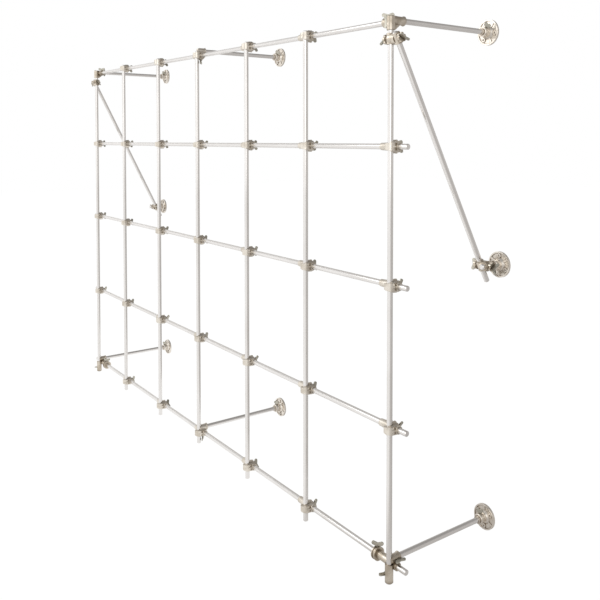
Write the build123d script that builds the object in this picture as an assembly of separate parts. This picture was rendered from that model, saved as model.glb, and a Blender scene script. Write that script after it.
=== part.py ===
from build123d import *
from math import atan, degrees
import os

# Wall-mounted laboratory lattice: bright rods, cast clamps and round wall flanges.
# X runs along the lattice, the front faces -Y and Z is up.
# The origin lies on the wall, at the back of the middle foot flange.

# Rods, and the bays as the clamps were set by hand, left to right and bottom to top
rod_d = 12.7
rod_chamfer = 1.2
bay_widths = [301.0, 320.0, 297.0, 304.0, 290.0, 318.0]
bay_heights = [306.0, 316.0, 305.0, 283.0]
wall_gap = 317.0
crossing_gap = 0.8
over_right = 42.0
over_left = 60.0
over_foot = 34.0
over_top = 13.0
over_corner = 8.0
top_rod_drop = 23.5
bore_clearance = 0.15

# Hook connector, one at every plain crossing
barrel_r = 15.4
barrel_front = -4.0
barrel_back = 17.5
hook_gap = 2.5
barrel_draft = 4.0
flutes = 8
flute_r = 3.2
saddle_r = 10.0
saddle_back = 22.5
hook_wall = 6.6
hook_height = 18.0
hook_tip_height = 12.0
hook_tip_reach = 11.0
flare_root_r = 10.2
flare_tip_r = 8.2
flare_length = 43.0
collar_tip_r = 9.0
collar_length = 17.0
boss_r = 6.0
boss_length = 1.2

# Wing screws
screw_r = 3.0
screw_clearance = 0.2
screw_seat = 0.1
screw_neck = 1.0
wing_span = 28.0
wing_thick = 3.0
wing_ear_r = 4.2
wing_hub_r = 4.4
wing_rise = 2.0
wing_root = 1.5
small_wing_span = 17.0
clock_step = 37.0
clock_row_step = 53.0
clock_swing = 70.0

# Sockets of the cast corners and tees
socket_r = 9.4
top_socket_mouth = 36.0
short_socket_mouth = 27.0
end_gap = 0.3
lip_r = 11.0
lip_length = 5.0
foot_socket = 37.0
foot_floor = 3.0
foot_rim = 5.0
foot_chamfer = 2.0
cap_thick = 2.4
cap_chamfer = 1.2
corner_skirt = 20.0
ring_r = 14.0
ring_lip_r = 15.5
ring_lip = 2.5
ring_width = 11.0
ring_place = 54.0
sleeve_length = 34.0
sleeve_screw_place = 24.0
foot_sleeve_length = 60.0
sleeve_tail = 14.0
foot_rise = 14.0
corner_rise = 2.0
gusset_thick = 5.0
rod_standback = 10.0

# Round wall flange
flange_r = 31.0
flange_rim = 5.5
flange_rim_width = 3.5
flange_web = 3.6
flange_hub_r = 12.6
flange_hub_height = 26.0
flange_nose_r = 8.4
flange_nose_height = 31.0
flange_cone_r = 17.0
flange_cone_height = 6.0
flange_floor = 5.0
flange_ribs = 3
flange_rib_width = 5.0
flange_rib_height = 5.0
screw_circle_d = 43.0
screw_hole_d = 5.2
screw_pad_r = 5.4
flange_screw_height = 19.0
flange_edge = 1.0

# Braces, their stubs and their swivel clamps
swivel_pitch = 20.0
swivel_gap = 0.2
jaw_r = 9.6
jaw_height = 24.0
jaw_disc_r = 12.5
jaw_knob_r = 11.0
jaw_knob_length = 6.5
jaw_flutes = 6
brace_drop = 39.0
stub_height = 630.0
stub_reach = 45.0
stub_over = 16.0
brace_over_top = 14.0
brace_over_foot = 46.0
pin_r = 3.2
pin_clearance = 0.1

# Places worked out from the sizes above
rod_r = rod_d / 2
bore_r = rod_r + bore_clearance
rod_offset = rod_d + crossing_gap
vertical_y = -wall_gap
horizontal_y = vertical_y + rod_offset
middle_column = len(bay_widths) // 2
left_span = sum(bay_widths[:middle_column])
column_x = [sum(bay_widths[:i]) - left_span for i in range(len(bay_widths) + 1)]
row_z = [sum(bay_heights[:i]) - foot_rise for i in range(len(bay_heights) + 1)]
top_row = len(row_z) - 1
last_column = len(column_x) - 1
sides = {"left": -1, "right": 1}
end_column = {"left": 0, "right": last_column}
top_lean = degrees(atan(top_rod_drop / sum(bay_widths)))
foot_reach = foot_socket - foot_floor - end_gap
boss_back = saddle_back + boss_length
screw_point = rod_r + screw_seat
clear_length = foot_rise + lip_r + 1
foot_screw_z = -foot_socket / 2 - foot_rim


def bar(radius, start, end, axis, at=(0, 0, 0)):
    """Round bar along one axis, from start to end, on the line through the point at."""
    return taper(radius, radius, start, end, axis, at)


def taper(start_r, end_r, start, end, axis, at=(0, 0, 0)):
    """Round bar whose radius goes from start_r to end_r."""
    step = {"x": Vector(1, 0, 0), "y": Vector(0, 1, 0), "z": Vector(0, 0, 1)}[axis]
    if end < start:
        step = -step
        start = -start
        end = -end
    plane = Plane(origin=Vector(*at) + step * start, z_dir=step)
    low = (Align.CENTER, Align.CENTER, Align.MIN)
    if start_r == end_r:
        solid = Cylinder(start_r, end - start, align=low)
    else:
        solid = Cone(start_r, end_r, end - start, align=low)
    return plane.location * solid


def rod(start, end):
    """Drawn rod between two points, with a turned chamfer at each end."""
    run = Vector(*end) - Vector(*start)
    solid = Cylinder(rod_r, run.length, align=(Align.CENTER, Align.CENTER, Align.MIN))
    solid = chamfer(solid.edges().filter_by(GeomType.CIRCLE), rod_chamfer)
    return Plane(origin=start, z_dir=run).location * solid


def wing_screw(seat, span=wing_span):
    """Thumb screw that presses a rod centred at the origin; its ears stand past seat along +Z."""
    low = (Align.CENTER, Align.CENTER, Align.MIN)
    stem = Pos(0, 0, screw_point) * Cylinder(screw_r, seat + screw_neck - screw_point, align=low)
    ear_x = span / 2 - wing_ear_r
    hub = Pos(0, wing_hub_r - wing_root) * Circle(wing_hub_r)
    outline = hub
    for side in sides.values():
        ear = Pos(side * ear_x, wing_hub_r + wing_rise) * Circle(wing_ear_r)
        outline += make_hull(hub.edges() + ear.edges())
    ears = extrude(Plane.XZ * outline, wing_thick / 2, both=True)
    return stem + Pos(0, 0, seat + screw_neck) * ears


def driven(screw, rod_point, direction, clock=0):
    """Wing screw turned to press the rod at rod_point; at clock 0 its ears lie along X, or Z."""
    ear_line = (0, 0, 1) if direction[0] else (1, 0, 0)
    frame = Plane(origin=rod_point, x_dir=ear_line, z_dir=direction)
    return frame.location * Rotation(0, 0, clock) * screw


# Rods of the lattice
def lean(row):
    """Degrees by which a level rod drops toward its right end; only the top one does."""
    return top_lean if row == top_row else 0


def rod_height(row, x):
    """Height of a level rod's axis at a place along the lattice."""
    drop = top_rod_drop * x / sum(bay_widths) if row == top_row else 0
    return row_z[row] - drop


def vertical_rod(column):
    """Upright rod, in front of the level rods."""
    x = column_x[column]
    at_end = column in (0, last_column)
    ends_low = foot_reach if at_end else over_foot
    top = rod_height(top_row, x) + (over_corner if at_end else over_top)
    return rod((x, vertical_y, row_z[0] - ends_low), (x, vertical_y, top))


def horizontal_rod(row):
    """Level rod behind the uprights; the top one ends inside its two corner castings."""
    left = column_x[0] - over_left
    right = column_x[last_column] + over_right
    if row == top_row:
        left = column_x[0] + rod_standback
        right = column_x[last_column] - rod_standback
    start = (left, horizontal_y, rod_height(row, left))
    return rod(start, (right, horizontal_y, rod_height(row, right)))


def standoff_height(column, row):
    """Height of the rod that joins this crossing to the wall."""
    rise = corner_rise if row == top_row and column != middle_column else foot_rise
    return rod_height(row, column_x[column]) + rise


def standoff_rod(column, row):
    """Rod from a socket behind the crossing to the wall flange."""
    x = column_x[column]
    z = standoff_height(column, row)
    return rod((x, vertical_y + rod_standback, z), (x, -flange_floor - end_gap, z))


# Hook connector: fluted star, hook round the upright, long flare round the level rod
def fluted(radius, count, cut_r):
    """Star outline with round flutes cut into its edge."""
    star = Circle(radius)
    for i in range(count):
        flute = Pos(radius + cut_r / 3, 0) * Circle(cut_r)
        star -= Rotation(0, 0, 360 / count * (i + 0.5)) * flute
    return star


def hook_blank():
    """Outer form of the hook connector, before its bores."""
    back_face = Plane.XZ.offset(-barrel_back)
    star = fluted(barrel_r, flutes, flute_r)
    body = extrude(back_face * star, barrel_back - barrel_front, taper=barrel_draft)
    body -= Pos(-barrel_r, hook_gap - barrel_r, 0) * Box(2 * barrel_r, 2 * barrel_r, 2 * barrel_r)
    body += bar(saddle_r, hook_gap, saddle_back, "y")
    level = (0, rod_offset, 0)
    body += taper(flare_root_r, flare_tip_r, 0, -flare_length, "x", level)
    body += taper(flare_root_r, collar_tip_r, 0, collar_length, "x", level)
    body += bar(boss_r, saddle_back, boss_back, "y")
    outer = bore_r + hook_wall
    claw = Polygon(
        (-hook_tip_reach, -hook_tip_height / 2),
        (outer, -hook_height / 2),
        (outer, hook_height / 2),
        (-hook_tip_reach, hook_tip_height / 2),
        align=None,
    )
    finger = extrude(Plane.XZ.offset(outer) * claw, -outer - hook_gap)
    body += bar(outer, -hook_height / 2, hook_height / 2, "z") & finger
    return body


def rod_bores(body, angle):
    """Cuts the bores of a level rod that leans by the angle and of a plumb upright."""
    body = Rotation(0, angle, 0) * body
    level = bar(bore_r, -flare_length - 1, collar_length + 1, "x", (0, rod_offset, 0))
    body -= Rotation(0, angle, 0) * level
    body -= bar(bore_r, -clear_length, clear_length, "z")
    return body - Pos(-barrel_r, 0, 0) * Box(2 * barrel_r, 2 * hook_gap, 2 * clear_length)


def hook_connector(angle):
    """Cast hook connector, with the upright's axis through its own origin."""
    body = rod_bores(hook_blank(), angle)
    return body - bar(screw_r + screw_clearance, rod_offset, boss_back + 1, "y")


def standoff_socket(rise, mouth):
    """Lipped socket toward the wall, as a blank and the cut for its rod."""
    at = (0, 0, rise)
    blank = bar(socket_r, 0, mouth, "y", at)
    blank += taper(socket_r, lip_r, mouth - lip_length, mouth, "y", at)
    cut = bar(bore_r, rod_standback - end_gap, mouth + 1, "y", at)
    return blank, cut


def socket_screw_y(mouth):
    """How far behind the upright the screw on a standoff socket stands."""
    return mouth - lip_length - screw_r


def tee_connector(angle):
    """Hook connector of the middle column, with a socket toward the wall above its star."""
    blank, cut = standoff_socket(foot_rise, short_socket_mouth)
    body = rod_bores(hook_blank() + blank, angle) - cut
    hole_r = screw_r + screw_clearance
    body -= bar(hole_r, 0, -barrel_r - 1, "z", (0, rod_offset, 0))
    place = (0, socket_screw_y(short_socket_mouth), foot_rise)
    return body - bar(hole_r, 0, -socket_r - 1, "x", place)


def corner_holes(body, upright_z, level_x, standoff_z, mouth, outward):
    """Cuts the three screw holes of a corner casting; outward is where the standoff's points."""
    hole_r = screw_r + screw_clearance
    body -= bar(hole_r, 0, -socket_r - 1, "x", (0, 0, upright_z))
    body -= bar(hole_r, 0, ring_lip_r + 1, "z", (level_x, rod_offset, 0))
    place = (0, socket_screw_y(mouth), standoff_z)
    return body - bar(hole_r, 0, outward * (socket_r + 1), "x", place)


def top_corner(side):
    """Three-way casting over the end of an upright, closed on top."""
    level = (0, rod_offset, 0)
    cap = over_corner + end_gap + cap_thick
    blank, cut = standoff_socket(corner_rise, top_socket_mouth)
    post = bar(socket_r, -corner_skirt, cap, "z")
    body = chamfer(post.edges().sort_by(Axis.Z)[-1], cap_chamfer) + blank
    mouth = sleeve_length - lip_length
    sleeve = bar(socket_r, 0, -side * sleeve_length, "x", level)
    sleeve += taper(socket_r, lip_r, -side * mouth, -side * sleeve_length, "x", level)
    body += Rotation(0, top_lean, 0) * sleeve
    gusset = Polygon(
        (socket_r / 2, -corner_skirt),
        (socket_r, -corner_skirt),
        (top_socket_mouth - lip_length, corner_rise - socket_r / 2),
        (socket_r / 2, corner_rise),
        align=None,
    )
    body += extrude(Plane.YZ * gusset, gusset_thick / 2, both=True)
    body -= bar(bore_r, -corner_skirt - 1, over_corner + end_gap, "z")
    stop = -side * (rod_standback - end_gap)
    body -= Rotation(0, top_lean, 0) * bar(bore_r, stop, -side * (sleeve_length + 1), "x", level)
    screw_x = -side * sleeve_screw_place
    return corner_holes(body - cut, 0, screw_x, corner_rise, top_socket_mouth, -side)


def foot_corner(side):
    """Three-way casting with a closed foot socket and a ringed sleeve for the level rod."""
    level = (0, rod_offset, 0)
    blank, cut = standoff_socket(foot_rise, short_socket_mouth)
    post = bar(socket_r, -foot_socket, foot_rim, "z")
    body = chamfer(post.edges().sort_by(Axis.Z)[0], foot_chamfer) + blank
    body += bar(socket_r, side * sleeve_tail, -side * foot_sleeve_length, "x", level)
    near = ring_place - ring_width / 2
    far = ring_place + ring_width / 2
    body += bar(ring_r, -side * near, -side * far, "x", level)
    for start in (near, far - ring_lip):
        body += bar(ring_lip_r, -side * start, -side * (start + ring_lip), "x", level)
    body -= bar(bore_r, foot_floor - foot_socket, clear_length, "z")
    body -= bar(bore_r, -foot_sleeve_length - 1, foot_sleeve_length + 1, "x", level)
    screw_x = -side * ring_place
    return corner_holes(body - cut, foot_screw_z, screw_x, foot_rise, short_socket_mouth, side)


# Round wall flange, its back on the wall and its hub toward the lattice
def wall_flange():
    """Cast flange: rimmed plate, coned hub, radial ribs and pads round the screw holes."""
    down = "y"
    body = bar(flange_r, 0, -flange_web, down)
    rim = bar(flange_r, 0, -flange_rim, down) - bar(flange_r - flange_rim_width, 0, -flange_rim, down)
    body += rim
    hub = bar(flange_hub_r, 0, -flange_hub_height, down)
    body += chamfer(hub.edges().sort_by(Axis.Y)[0], flange_edge)
    body += bar(flange_nose_r, 0, -flange_nose_height, down)
    body += taper(flange_cone_r, flange_hub_r, -flange_web, -flange_web - flange_cone_height, down)
    pitch = 360 / flange_ribs
    for i in range(flange_ribs):
        rib = Box(
            flange_r - flange_rim_width, flange_rib_height, flange_rib_width,
            align=(Align.MIN, Align.MAX, Align.CENTER),
        )
        body += Rotation(0, pitch * (i + 0.5) + 90, 0) * rib
        pad = bar(screw_pad_r, 0, -flange_rim, down, (screw_circle_d / 2, 0, 0))
        body += Rotation(0, pitch * i + 90, 0) * pad
    for i in range(flange_ribs):
        hole = bar(screw_hole_d / 2, 1, -flange_rim - 1, down, (screw_circle_d / 2, 0, 0))
        body -= Rotation(0, pitch * i + 90, 0) * hole
    body -= bar(bore_r, -flange_floor, -flange_nose_height - 1, down)
    return body - bar(screw_r + screw_clearance, 0, flange_hub_r + 1, "z", (0, -flange_screw_height, 0))


# Swivel clamp: two alike jaws face to face on one pin
def swivel_jaw():
    """Jaw round a rod along Z, its pivot disc toward +X and its fluted knob toward -X."""
    face = swivel_pitch / 2 - swivel_gap / 2
    body = bar(jaw_r, -jaw_height / 2, jaw_height / 2, "z")
    body += bar(jaw_disc_r, 0, face, "x")
    knob = fluted(jaw_knob_r, jaw_flutes, flute_r)
    body += bar(jaw_knob_r - flute_r, 0, -jaw_r, "x")
    body += extrude(Plane.YZ.offset(-jaw_r) * knob, -jaw_knob_length)
    body -= bar(bore_r, -jaw_height, jaw_height, "z")
    body -= bar(pin_r + pin_clearance, 0, face + 1, "x")
    return body - bar(screw_r + screw_clearance, 0, -jaw_r - jaw_knob_length - 1, "x")


def pivot_pin():
    """Pin along X through both discs, flush with the two rod bores."""
    reach = swivel_pitch / 2 - bore_r - end_gap
    return bar(pin_r, -reach, reach, "x")


# Places of every piece
def crossing(column, row):
    """Point on the upright's axis at a crossing."""
    return (column_x[column], vertical_y, rod_height(row, column_x[column]))


def is_corner(column, row):
    """True where a three-way corner casting takes the place of a hook connector."""
    return column in (0, last_column) and row in (0, top_row)


def is_tee(column, row):
    """True where the middle column meets the wall."""
    return column == middle_column and row in (0, top_row)


def plain_columns(row):
    """Columns that have a hook connector in this row."""
    return [c for c in range(len(column_x)) if not is_corner(c, row) and not is_tee(c, row)]


def rear_screw(column, row):
    """Wing screw at the back of a hook connector, its ears turned some way off upright."""
    x, y, z = crossing(column, row)
    turn = (clock_step * column + clock_row_step * row) % clock_swing - clock_swing / 2
    return driven(rear_wing, (x, y + rod_offset, z), (0, 1, 0), 90 + turn)


def socket_screws(column, row):
    """Wing screws of a corner casting or tee, each pressed on one of its rods."""
    x, y, z = crossing(column, row)
    mouth = top_socket_mouth if is_corner(column, row) and row == top_row else short_socket_mouth
    standoff = (x, y + socket_screw_y(mouth), standoff_height(column, row))
    if is_tee(column, row):
        level = driven(tee_wing, (x, y + rod_offset, z), (0, 0, -1), clock_step)
        return [level, driven(socket_wing, standoff, (-1, 0, 0), 90)]
    side = 1 if column == last_column else -1
    low = 0 if row == top_row else foot_screw_z
    level_x = x - side * (sleeve_screw_place if row == top_row else ring_place)
    level = (level_x, y + rod_offset, rod_height(row, level_x))
    upright_clock = 0 if row == top_row else 90
    screws = [driven(socket_wing, (x, y, z + low), (-1, 0, 0), upright_clock)]
    if row == top_row:
        screws.append(driven(socket_wing, level, (0, 0, 1), clock_step))
        screws.append(driven(socket_wing, standoff, (-side, 0, 0)))
    else:
        screws.append(driven(ring_wing, level, (0, 0, 1), clock_step))
        screws.append(driven(socket_wing, standoff, (side, 0, 0), 90))
    return screws


def brace_ends(side_name):
    """Brace, its stub and the places of the two swivel clamps at one end of the lattice."""
    side = sides[side_name]
    x = column_x[end_column[side_name]]
    brace_x = x + side * swivel_pitch
    stub_x = x + 2 * side * swivel_pitch
    upper = Vector(brace_x, vertical_y, rod_height(top_row, x) - brace_drop)
    lower = Vector(brace_x, -stub_reach, stub_height)
    along = (upper - lower).normalized()
    brace = rod(lower - along * brace_over_foot, upper + along * brace_over_top)
    stub_front = -stub_reach - stub_over - rod_r
    stub = rod((stub_x, stub_front, stub_height), (stub_x, -flange_floor - end_gap, stub_height))
    return side, x, brace_x, stub_x, upper, lower, along, brace, stub


def jaw_at(point, rod_line, toward):
    """Frame of a jaw: its rod along rod_line and its pivot disc toward +X or -X."""
    return Plane(origin=point, x_dir=(toward, 0, 0), z_dir=rod_line).location


rear_wing = wing_screw(boss_back - rod_offset)
tee_wing = wing_screw(barrel_r)
socket_wing = wing_screw(socket_r)
ring_wing = wing_screw(ring_lip_r)
flange_wing = wing_screw(flange_hub_r, small_wing_span)
jaw_wing = wing_screw(jaw_r + jaw_knob_length)

nodes = {}
for column in range(len(column_x)):
    nodes[f"upright_rod_{column + 1}"] = vertical_rod(column)
for row in range(len(row_z)):
    nodes[f"level_rod_{row + 1}"] = horizontal_rod(row)

wall_columns = {"left": 0, "middle": middle_column, "right": last_column}
wall_rows = {"foot": 0, "top": top_row}
flange_screws = []
casting_screws = []
flange = wall_flange()


def place_flange(name, x, z, clock):
    """One wall flange and its wing screw, at a height on the wall."""
    turn = Rotation(0, clock, 0)
    nodes[f"{name}_flange"] = Pos(x, 0, z) * turn * flange
    screw = driven(flange_wing, (0, -flange_screw_height, 0), (0, 0, 1), clock_step)
    flange_screws.append(Pos(x, 0, z) * turn * screw)


for row_name, row in wall_rows.items():
    for column_name, column in wall_columns.items():
        name = f"{row_name}_{column_name}"
        nodes[f"{name}_standoff"] = standoff_rod(column, row)
        clock = 0 if row == 0 else clock_step
        place_flange(name, column_x[column], standoff_height(column, row), clock)
        casting_screws += socket_screws(column, row)

square_hook = hook_connector(0)
leaning_hook = hook_connector(top_lean)
for row in range(len(row_z)):
    plain = plain_columns(row)
    hook = leaning_hook if row == top_row else square_hook
    nodes[f"hook_connectors_row_{row + 1}"] = Compound([Pos(*crossing(c, row)) * hook for c in plain])
    screws = [rear_screw(c, row) for c in plain]
    nodes[f"hook_wing_screws_row_{row + 1}"] = Compound(screws)

for row_name, row in wall_rows.items():
    nodes[f"{row_name}_tee"] = Pos(*crossing(middle_column, row)) * tee_connector(lean(row))
for side_name, side in sides.items():
    column = end_column[side_name]
    nodes[f"foot_corner_{side_name}"] = Pos(*crossing(column, 0)) * foot_corner(side)
    nodes[f"top_corner_{side_name}"] = Pos(*crossing(column, top_row)) * top_corner(side)
nodes["casting_wing_screws"] = Compound(casting_screws)

jaw = swivel_jaw()
pins = []
jaw_screws = []
for side_name in sides:
    side, x, brace_x, stub_x, upper, lower, along, brace, stub = brace_ends(side_name)
    nodes[f"brace_{side_name}"] = brace
    nodes[f"brace_stub_{side_name}"] = stub
    place_flange(f"brace_{side_name}", stub_x, stub_height, 180)
    jaws = {
        f"upright_jaw_{side_name}": jaw_at((x, vertical_y, upper.Z), (0, 0, 1), side),
        f"brace_upper_jaw_{side_name}": jaw_at(upper, along, -side),
        f"brace_lower_jaw_{side_name}": jaw_at(lower, along, side),
        f"stub_jaw_{side_name}": jaw_at((stub_x, -stub_reach, stub_height), (0, 1, 0), -side),
    }
    for name, place in jaws.items():
        nodes[name] = place * jaw
        jaw_screws.append(place * driven(jaw_wing, (0, 0, 0), (-1, 0, 0), clock_step))
    half = side * swivel_pitch / 2
    pins.append(Pos(x + half, vertical_y, upper.Z) * pivot_pin())
    pins.append(Pos(brace_x + half, -stub_reach, stub_height) * pivot_pin())
nodes["swivel_pins"] = Compound(pins)
nodes["swivel_wing_screws"] = Compound(jaw_screws)
nodes["flange_wing_screws"] = Compound(flange_screws)

os.makedirs("parts", exist_ok=True)
for name, shape in nodes.items():
    export_step(shape, f"parts/{name}.step")
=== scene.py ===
import math

import bpy
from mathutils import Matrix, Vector


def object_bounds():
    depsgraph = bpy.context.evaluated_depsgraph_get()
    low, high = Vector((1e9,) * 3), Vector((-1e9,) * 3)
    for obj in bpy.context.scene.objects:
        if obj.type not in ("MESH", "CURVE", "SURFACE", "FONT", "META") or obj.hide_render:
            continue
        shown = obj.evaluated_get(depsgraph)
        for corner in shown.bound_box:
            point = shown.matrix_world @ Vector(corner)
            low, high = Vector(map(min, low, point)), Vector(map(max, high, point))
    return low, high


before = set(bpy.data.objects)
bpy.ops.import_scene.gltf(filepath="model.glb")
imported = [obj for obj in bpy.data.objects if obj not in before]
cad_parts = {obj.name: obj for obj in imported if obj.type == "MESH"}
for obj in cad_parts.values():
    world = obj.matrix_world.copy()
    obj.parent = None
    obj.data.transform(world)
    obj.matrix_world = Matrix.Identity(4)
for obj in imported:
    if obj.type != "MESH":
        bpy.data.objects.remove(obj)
cad_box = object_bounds()


# Upright rods
# Seven straight rods of drawn stainless steel, 12.7 mm thick, cut to length with turned
# chamfers at both ends. The hooks of the connectors hold them in front of the level rods.

dull_steel = (0.83, 0.81, 0.79)
bright_steel = (0.90, 0.885, 0.87)
smoothest_steel = 0.10
roughest_steel = 0.20
line_density_across = 60.0
line_density_along = 1.5
line_height = 0.0001
along_x, along_y, along_z = range(3)


def material(name):
    made = bpy.data.materials.new(name)
    made.use_nodes = True
    tree = made.node_tree
    return made, tree, tree.nodes["Principled BSDF"]


def node(tree, kind, **inputs):
    """Adds a shader node; an underscore in an input's name stands for a space."""
    made = tree.nodes.new("ShaderNode" + kind)
    for socket, value in inputs.items():
        made.inputs[socket.replace("_", " ")].default_value = value
    return made


def noise(tree, scale, detail, distortion=0.0, stretch=(1, 1, 1)):
    place = node(tree, "TexCoord")
    mapping = node(tree, "Mapping", Scale=stretch)
    cloud = node(tree, "TexNoise", Scale=scale, Detail=detail, Distortion=distortion)
    tree.links.new(place.outputs["Object"], mapping.inputs["Vector"])
    tree.links.new(mapping.outputs["Vector"], cloud.inputs["Vector"])
    return cloud.outputs["Fac"]


def ramp(tree, factor, *stops):
    """Colour ramp with a stop at each (place, colour)."""
    made = node(tree, "ValToRGB")
    bands = made.color_ramp.elements
    while len(bands) < len(stops):
        bands.new(0.5)
    for band, (place, tint) in zip(bands, stops):
        band.position = place
        band.color = (*tint, 1)
    tree.links.new(factor, made.inputs["Fac"])
    return made.outputs["Color"]


def grey(level):
    return (level, level, level)


def bumped(tree, shader, height, strength, depth, under=None):
    """Bump on the shader, on top of the normal that under gives."""
    bump = node(tree, "Bump", Strength=strength, Distance=depth)
    tree.links.new(height, bump.inputs["Height"])
    if under:
        tree.links.new(under, bump.inputs["Normal"])
    tree.links.new(bump.outputs["Normal"], shader.inputs["Normal"])


def drawn_steel(name, along):
    """Bright steel with fine drawing lines along one axis."""
    made, tree, shader = material(name)
    density = [line_density_across] * 3
    density[along] = line_density_along
    lines = noise(tree, scale=12.0, detail=4.0, stretch=density)
    clouds = noise(tree, scale=9.0, detail=3.0, distortion=0.4)
    tint = ramp(tree, clouds, (0.3, dull_steel), (0.7, bright_steel))
    tree.links.new(tint, shader.inputs["Base Color"])
    shine = ramp(tree, lines, (0.3, grey(smoothest_steel)), (0.75, grey(roughest_steel)))
    tree.links.new(shine, shader.inputs["Roughness"])
    shader.inputs["Metallic"].default_value = 0.9
    bumped(tree, shader, lines, strength=0.04, depth=line_height)
    return made


def finish_nodes(made, wanted):
    """Gives the material to every node whose name is wanted."""
    for name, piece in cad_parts.items():
        if wanted(name):
            for place in piece.material_slots:
                place.material = made


upright_steel = drawn_steel("upright_steel", along_z)
finish_nodes(upright_steel, lambda name: name.startswith("upright_rod"))


# Level rods
# Five rods of the same steel run along the lattice behind the uprights and stick out past
# the outer uprights, except the top one, whose ends sit inside the corner castings.

level_steel = drawn_steel("level_steel", along_x)
finish_nodes(level_steel, lambda name: name.startswith("level_rod"))


# Standoff rods, braces and stubs
# The same rod again, cut short: six standoffs run square back to the wall, and two braces
# run down and back to short stubs. They are clamped, not welded.

standoff_steel = drawn_steel("standoff_steel", along_y)
finish_nodes(
    standoff_steel,
    lambda name: name.endswith("_standoff") or name in ("brace_left", "brace_right")
    or name.startswith("brace_stub"),
)


# Hook connectors and tees
# Iron castings, nickel plated. The connectors slide on the level rods and hook round the
# uprights, and the tees take a standoff rod too. The plating has gone dull, and the recesses
# carry painted shade in a dirt brown, partly real dirt.

dullest_nickel = 0.40
smoothest_nickel = 0.24
edge_softness = 0.0008
sand_height = 0.0002
clamp_shade_and_dirt_reach = 0.012


def cast_nickel(name, pale, dark, shade_and_dirt, shade_and_dirt_reach):
    """Cast and plated metal, cloudy, with painted shade and dirt where it is hollow, and soft
    edges.
    """
    made, tree, shader = material(name)
    clouds = noise(tree, scale=45.0, detail=5.0, distortion=0.4)
    tint = ramp(tree, clouds, (0.38, dark), (0.62, pale))
    # Painted shade: ambient occlusion mixes the base colour toward a dirt brown in the
    # hollows, standing for both shade and dirt there.
    occlusion_shade = node(tree, "AmbientOcclusion", Distance=shade_and_dirt_reach)
    depth = ramp(tree, occlusion_shade.outputs["AO"], (0.45, grey(1)), (0.95, grey(0)))
    tint_with_shade_and_dirt = node(tree, "Mix")
    tint_with_shade_and_dirt.data_type = "RGBA"
    tree.links.new(depth, tint_with_shade_and_dirt.inputs["Factor"])
    tree.links.new(tint, tint_with_shade_and_dirt.inputs["A"])
    tint_with_shade_and_dirt.inputs["B"].default_value = (*shade_and_dirt, 1)
    tree.links.new(tint_with_shade_and_dirt.outputs["Result"], shader.inputs["Base Color"])
    soft_edge = node(tree, "Bevel", Radius=edge_softness)
    sand = noise(tree, scale=400.0, detail=2.0)
    shine = ramp(tree, clouds, (0.3, grey(dullest_nickel)), (0.7, grey(smoothest_nickel)))
    tree.links.new(shine, shader.inputs["Roughness"])
    shader.inputs["Metallic"].default_value = 0.95
    bumped(
        tree, shader, sand, strength=0.04, depth=sand_height, under=soft_edge.outputs["Normal"]
    )
    return made


clamp_nickel = cast_nickel(
    "clamp_nickel",
    pale=(0.85, 0.80, 0.72),
    dark=(0.67, 0.615, 0.53),
    shade_and_dirt=(0.42, 0.365, 0.295),
    shade_and_dirt_reach=clamp_shade_and_dirt_reach,
)
finish_nodes(
    clamp_nickel, lambda name: name.startswith(("hook_connectors", "foot_tee", "top_tee"))
)


# Corner castings and swivel jaws
# The same iron castings with browner plating: the corners close the ends of the outer
# uprights, and the jaws turn in pairs on a pin and hold the braces.

corner_nickel = cast_nickel(
    "corner_nickel",
    pale=(0.75, 0.685, 0.59),
    dark=(0.54, 0.475, 0.385),
    shade_and_dirt=(0.30, 0.245, 0.18),
    shade_and_dirt_reach=clamp_shade_and_dirt_reach,
)
finish_nodes(
    corner_nickel,
    lambda name: name.startswith(("foot_corner", "top_corner")) or "_jaw_" in name,
)


# Wall flanges
# Round cast flanges with a coned hub, a raised rim, ribs and three screw holes. Their
# nickel is paler than the clamps', and the painted shade and dirt keep to narrow corners.

flange_nickel = cast_nickel(
    "flange_nickel",
    pale=(0.91, 0.86, 0.785),
    dark=(0.82, 0.76, 0.68),
    shade_and_dirt=(0.26, 0.20, 0.14),
    shade_and_dirt_reach=0.0045,
)
finish_nodes(flange_nickel, lambda name: name.endswith("_flange"))


# Wing screws and swivel pins
# Forged wing screws in a darker nickel, threaded into the bosses of the castings to press
# the rods. The pins, in the same metal, join the swivel jaws in pairs.

screw_nickel = cast_nickel(
    "screw_nickel",
    pale=(0.60, 0.575, 0.50),
    dark=(0.40, 0.385, 0.325),
    shade_and_dirt=(0.16, 0.135, 0.10),
    shade_and_dirt_reach=0.006,
)
finish_nodes(screw_nickel, lambda name: "_wing_screws" in name or name == "swivel_pins")


# Floor
# A plain pale paper floor under the lattice, drawn nearly white to the camera. To glossy rays
# it glows, bright in front and dim behind, a painted reflection that darkens rods' far sides.

floor_z = cad_box[0].z
floor_half = 12.0
lightest_paper = 0.81
darkest_paper = 0.79
paper_glow = 1.08
paper_glow_share = 0.9
paper_glossy_glow_strength = 0.94
depth_weight = 2.0
furthest_side = 2.24


def front_to_back(tree, parts):
    """Bright in front of the lattice and at its left, darker behind it at its right."""
    behind = node(tree, "Math")
    behind.operation = "MULTIPLY_ADD"
    behind.inputs[1].default_value = depth_weight
    tree.links.new(parts["Y"], behind.inputs[0])
    tree.links.new(parts["X"], behind.inputs[2])
    shift = node(tree, "MapRange")
    shift.inputs["From Min"].default_value = -furthest_side
    shift.inputs["From Max"].default_value = furthest_side
    tree.links.new(behind.outputs[0], shift.inputs["Value"])
    return ramp(
        tree,
        shift.outputs["Result"],
        (0.25, (1.0, 0.99, 0.98)),
        (0.42, (0.97, 0.955, 0.94)),
        (0.5, (0.68, 0.66, 0.64)),
        (0.7, (0.53, 0.51, 0.495)),
        (0.95, (0.56, 0.54, 0.525)),
    )


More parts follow.
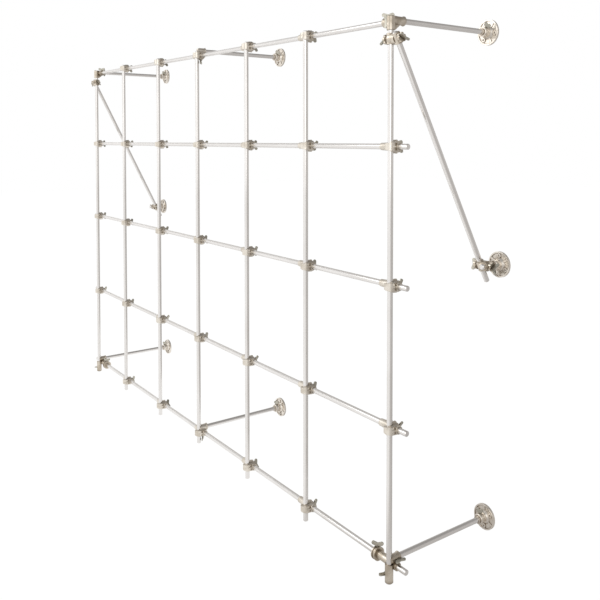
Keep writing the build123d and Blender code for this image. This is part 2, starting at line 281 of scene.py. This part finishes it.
flat = bpy.data.meshes.new("floor")
flat.from_pydata(
    [
        (x * floor_half, y * floor_half, floor_z)
        for x, y in ((-1, -1), (1, -1), (1, 1), (-1, 1))
    ],
    [],
    [(0, 1, 2, 3)],
)
floor = bpy.data.objects.new("floor", flat)
bpy.context.collection.objects.link(floor)
paper, paper_tree, paper_shader = material("floor_paper")
paper_shader.inputs["Roughness"].default_value = 0.9
paper_shader.inputs["Specular IOR Level"].default_value = 0.1
speck = noise(paper_tree, scale=40.0, detail=3.0)
paper_tint = ramp(paper_tree, speck, (0.3, grey(darkest_paper)), (0.7, grey(lightest_paper)))
paper_tree.links.new(paper_tint, paper_shader.inputs["Base Color"])
glow = node(paper_tree, "Emission", Strength=paper_glow)
rays = node(paper_tree, "LightPath")
veil = node(paper_tree, "Math")
veil.operation = "MULTIPLY"
veil.inputs[1].default_value = paper_glow_share
paper_tree.links.new(rays.outputs["Is Camera Ray"], veil.inputs[0])
blend = node(paper_tree, "MixShader")
paper_tree.links.new(veil.outputs[0], blend.inputs[0])
paper_tree.links.new(paper_shader.outputs[0], blend.inputs[1])
paper_tree.links.new(glow.outputs[0], blend.inputs[2])
outward = node(paper_tree, "VectorMath")
outward.operation = "NORMALIZE"
paper_place = node(paper_tree, "TexCoord")
paper_tree.links.new(paper_place.outputs["Object"], outward.inputs[0])
paper_split = node(paper_tree, "SeparateXYZ")
paper_tree.links.new(outward.outputs[0], paper_split.inputs[0])
# Painted reflection: to glossy rays the floor glows with the studio's front-to-back tint
# instead of showing lit paper.
paper_glossy_glow = node(paper_tree, "Emission", Strength=paper_glossy_glow_strength)
glossy_glow_tint = front_to_back(paper_tree, paper_split.outputs)
paper_tree.links.new(glossy_glow_tint, paper_glossy_glow.inputs["Color"])
seen = node(paper_tree, "MixShader")
paper_tree.links.new(rays.outputs["Is Glossy Ray"], seen.inputs[0])
paper_tree.links.new(blend.outputs[0], seen.inputs[1])
paper_tree.links.new(paper_glossy_glow.outputs[0], seen.inputs[2])
paper_out = paper_tree.nodes["Material Output"]
paper_tree.links.new(seen.outputs[0], paper_out.inputs["Surface"])
flat.materials.append(paper)


# Studio light
# Soft light all round, bright in front of the lattice and dim behind it and overhead, with
# a large lamp at the left and a smaller one at the right. The backdrop is white.

level_light = 1.07
overhead_light = 0.42
backdrop_light = 1.0

world = bpy.data.worlds.new("studio")
bpy.context.scene.world = world
world.use_nodes = True
sky = world.node_tree
for old in list(sky.nodes):
    sky.nodes.remove(old)
sky_place = node(sky, "TexCoord")
sky_split = node(sky, "SeparateXYZ")
sky.links.new(sky_place.outputs["Generated"], sky_split.inputs[0])
sky_tint = front_to_back(sky, sky_split.outputs)
sky_fade = node(sky, "MapRange")
sky_fade.inputs["To Min"].default_value = level_light
sky_fade.inputs["To Max"].default_value = overhead_light
sky.links.new(sky_split.outputs["Z"], sky_fade.inputs["Value"])
sky_soft = node(sky, "Background")
sky.links.new(sky_fade.outputs["Result"], sky_soft.inputs["Strength"])
sky.links.new(sky_tint, sky_soft.inputs["Color"])
sky_white = node(sky, "Background", Color=(1, 1, 1, 1), Strength=backdrop_light)
sky_rays = node(sky, "LightPath")
sky_mix = node(sky, "MixShader")
sky.links.new(sky_rays.outputs["Is Camera Ray"], sky_mix.inputs[0])
sky.links.new(sky_soft.outputs[0], sky_mix.inputs[1])
sky.links.new(sky_white.outputs[0], sky_mix.inputs[2])
sky_out = node(sky, "OutputWorld")
sky.links.new(sky_mix.outputs[0], sky_out.inputs["Surface"])


def lamp(name, place, aim, size, watts):
    light = bpy.data.lights.new(name, "AREA")
    light.shape = "DISK"
    light.size = size
    light.energy = watts
    made = bpy.data.objects.new(name, light)
    made.location = place
    made.rotation_euler = (Vector(aim) - Vector(place)).to_track_quat("-Z", "Y").to_euler()
    bpy.context.collection.objects.link(made)


lattice_middle = (0.0, -0.2, 0.6)
lamp("key_lamp", place=(-1.6, -3.4, 3.2), aim=lattice_middle, size=3.4, watts=48)
lamp("fill_lamp", place=(3.4, -2.6, 2.0), aim=lattice_middle, size=3.0, watts=16)


# Camera
# Where the photograph was taken from, found by fitting the rods' places, with the shift
# that puts the middle of the lens where the fit has it.

photo_width = 600
photo_centre = 300
focal_pixels = 725.8
centre_x = 315.3
centre_y = 164.3
eye = Vector((2.0866, -1.3775, 0.9263))
yaw = math.radians(-53.837)
pitch = math.radians(-1.880)

lens = bpy.data.cameras.new("camera")
lens.sensor_width = 36.0
lens.lens = focal_pixels * lens.sensor_width / photo_width
lens.shift_x = (photo_centre - centre_x) / photo_width
lens.shift_y = (centre_y - photo_centre) / photo_width
lens.clip_start = 0.01
lens.clip_end = 100
camera = bpy.data.objects.new("camera", lens)
ahead = Vector(
    (math.sin(yaw) * math.cos(pitch), math.cos(yaw) * math.cos(pitch), math.sin(pitch))
)
camera.rotation_mode = "QUATERNION"
camera.rotation_quaternion = ahead.to_track_quat("-Z", "Y")
camera.location = eye
bpy.context.collection.objects.link(camera)
bpy.context.scene.camera = camera

bpy.context.scene.view_settings.view_transform = "Standard"
